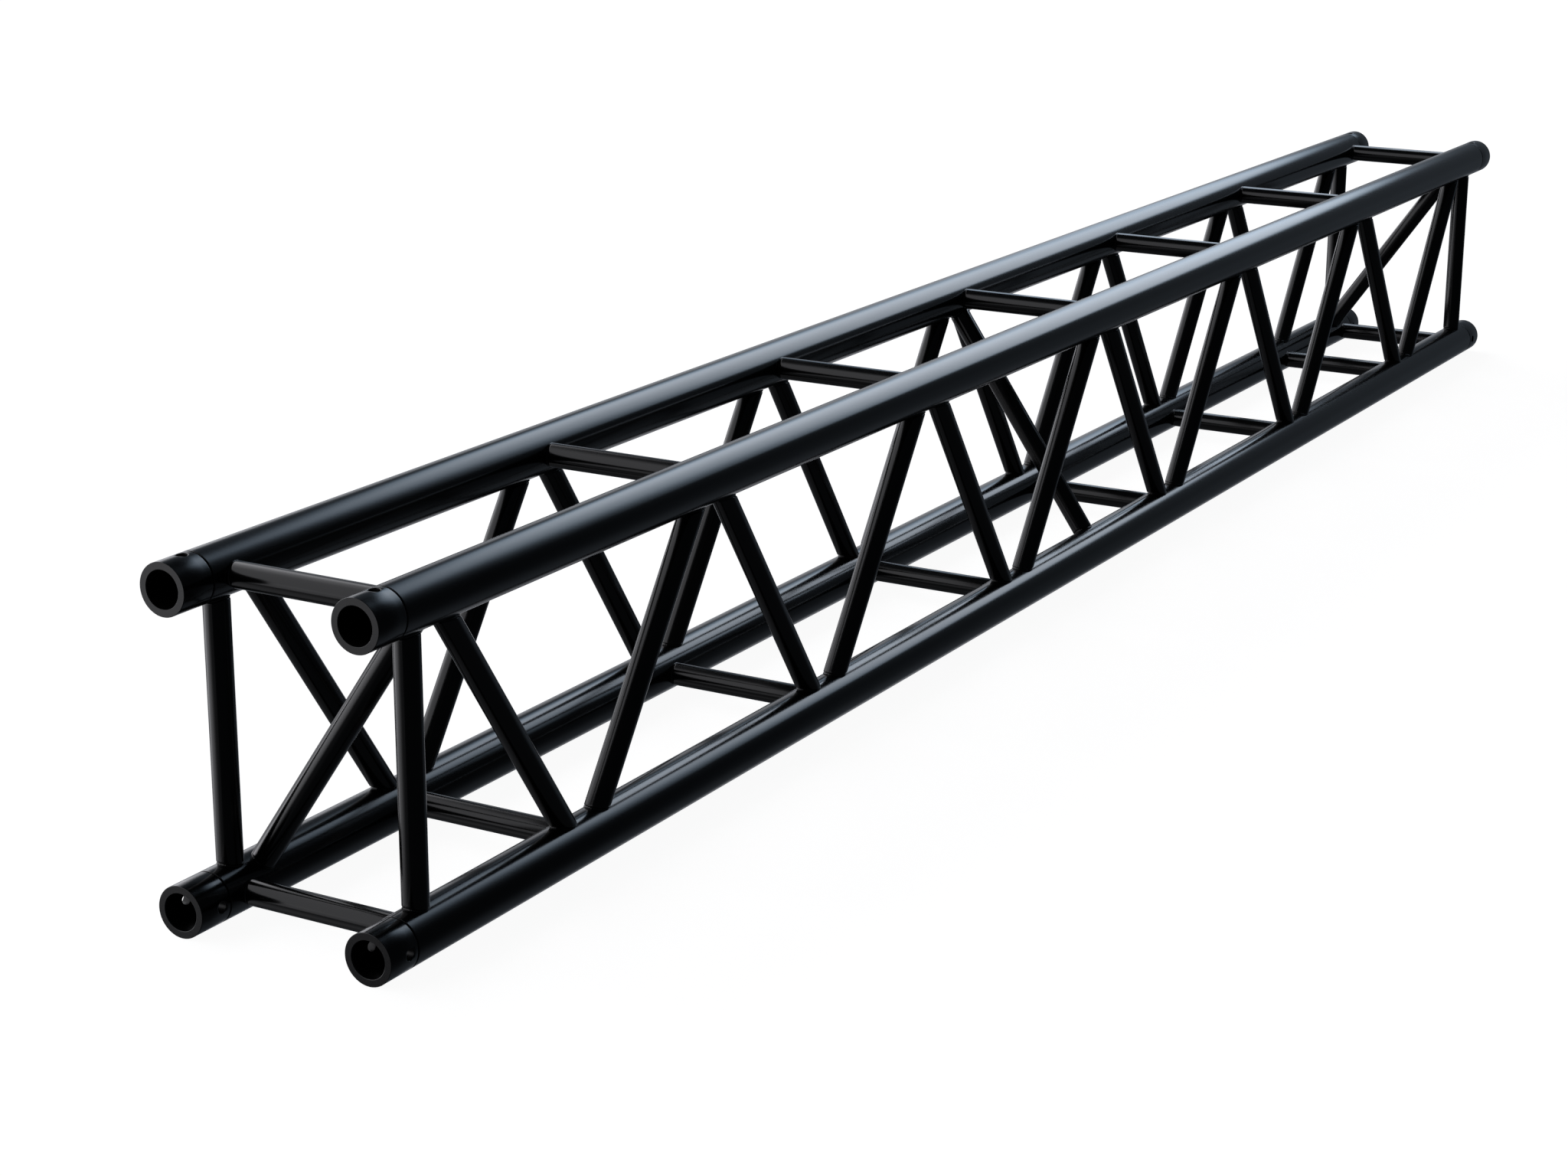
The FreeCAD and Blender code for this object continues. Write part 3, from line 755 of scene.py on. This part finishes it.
sky.link(warm.outputs[0], both.inputs[0])
sky.link(cool.outputs[0], both.inputs[1])
lit = sky.n("ShaderNodeBackground")
sky.link(both.outputs[0], lit.inputs[0])
seen = sky.n("ShaderNodeBackground")
seen.inputs[0].default_value = (1, 1, 1, 1)
path = sky.n("ShaderNodeLightPath")
pick = sky.n("ShaderNodeMixShader")
sky.link(path.outputs["Is Camera Ray"], pick.inputs[0])
sky.link(lit.outputs[0], pick.inputs[1])
sky.link(seen.outputs[0], pick.inputs[2])
wo = sky.n("ShaderNodeOutputWorld")
sky.link(pick.outputs[0], wo.inputs[0])

# Softbox standing 1.1 m beyond the far end: a hung panel whose lower edge slopes,
# brightest in the middle and falling off softly to its sides and top.
BOX_X = 2.6
me = bpy.data.meshes.new("studio_softbox")
me.from_pydata([(BOX_X, -3.0, 0.1), (BOX_X, -3.0, 5.4), (BOX_X, 3.0, 5.4), (BOX_X, 3.0, 0.1)], [], [(0, 1, 2, 3)])
softbox = bpy.data.objects.new("studio_softbox", me)
bpy.context.scene.collection.objects.link(softbox)
lamp = Sky.__new__(Sky)
lamp.mat = bpy.data.materials.new("studio_softbox_light")
lamp.nt = nodes_of(lamp.mat)
place = lamp.n("ShaderNodeSeparateXYZ")
lamp.link(lamp.n("ShaderNodeTexCoord").outputs["Object"], place.inputs[0])
sy, sz = place.outputs[1], place.outputs[2]
low_edge = lamp.math("MULTIPLY_ADD", sy, -0.353, 0.967)
top_edge = lamp.math("SUBTRACT", lamp.math("MULTIPLY_ADD", sy, -0.395, 3.977),
                     lamp.math("MULTIPLY", lamp.math("MULTIPLY", sy, sy), 0.110))
left_edge = lamp.math("MULTIPLY_ADD", sz, 0.097, -1.870)
right_edge = lamp.math("MULTIPLY_ADD", sz, 0.634, 0.402)
shape = lamp.math("MULTIPLY", lamp.step(sz, low_edge, 0.12),
                  lamp.math("SUBTRACT", 1.0, lamp.step(sz, top_edge, 0.60)))
shape = lamp.math("MULTIPLY", shape, lamp.math("MULTIPLY", lamp.step(sy, left_edge, 0.79),
                                               lamp.math("SUBTRACT", 1.0, lamp.step(sy, right_edge, 0.85))))
dy = lamp.math("SUBTRACT", sy, 0.040)
dh = lamp.math("SUBTRACT", sz, 2.112)
spread = lamp.math("MULTIPLY_ADD", lamp.math("MULTIPLY", dy, dy), 0.152,
                   lamp.math("MULTIPLY_ADD", lamp.math("MULTIPLY", dh, dh), 0.183,
                             lamp.math("MULTIPLY", lamp.math("MULTIPLY", dy, dh), -0.191)))
glow = lamp.math("MULTIPLY", shape, lamp.math("EXPONENT", lamp.math("MULTIPLY", spread, -1.0)))
tint = lamp.mix(glow, (0.72, 1.0, 1.30, 1.0), (0.905, 1.0, 1.13, 1.0))
front_side = lamp.math("SUBTRACT", 1.0, lamp.n("ShaderNodeNewGeometry").outputs["Backfacing"])
shine = lamp.n("ShaderNodeEmission")
lamp.link(tint, shine.inputs[0])
lamp.link(lamp.math("MULTIPLY", lamp.math("MULTIPLY", glow, front_side), 3.14), shine.inputs[1])
clear = lamp.n("ShaderNodeBsdfTransparent")
plus = lamp.n("ShaderNodeAddShader")
lamp.link(shine.outputs[0], plus.inputs[0])
lamp.link(clear.outputs[0], plus.inputs[1])
lamp.link(plus.outputs[0], lamp.n("ShaderNodeOutputMaterial").inputs["Surface"])
softbox.data.materials.append(lamp.mat)
softbox.visible_camera = False
softbox.visible_diffuse = False
softbox.visible_shadow = False

# ---------------------------------------------------------------------- camera
cam_data = bpy.data.cameras.new("camera")
cam_data.sensor_width = 36.0
cam_data.lens = 69.997
cam_data.clip_end = 500
cam = bpy.data.objects.new("camera", cam_data)
bpy.context.scene.collection.objects.link(cam)
cam.matrix_world = Matrix((
    (0.49827973, 0.24795491, -0.83080424, -3.41602441),
    (-0.86701103, 0.14584992, -0.47646581, -1.61330838),
    (0.00303069, 0.95772969, 0.28765370, 1.08435041),
    (0, 0, 0, 1)))
bpy.context.scene.camera = cam
bpy.context.scene.view_settings.view_transform = "Standard"
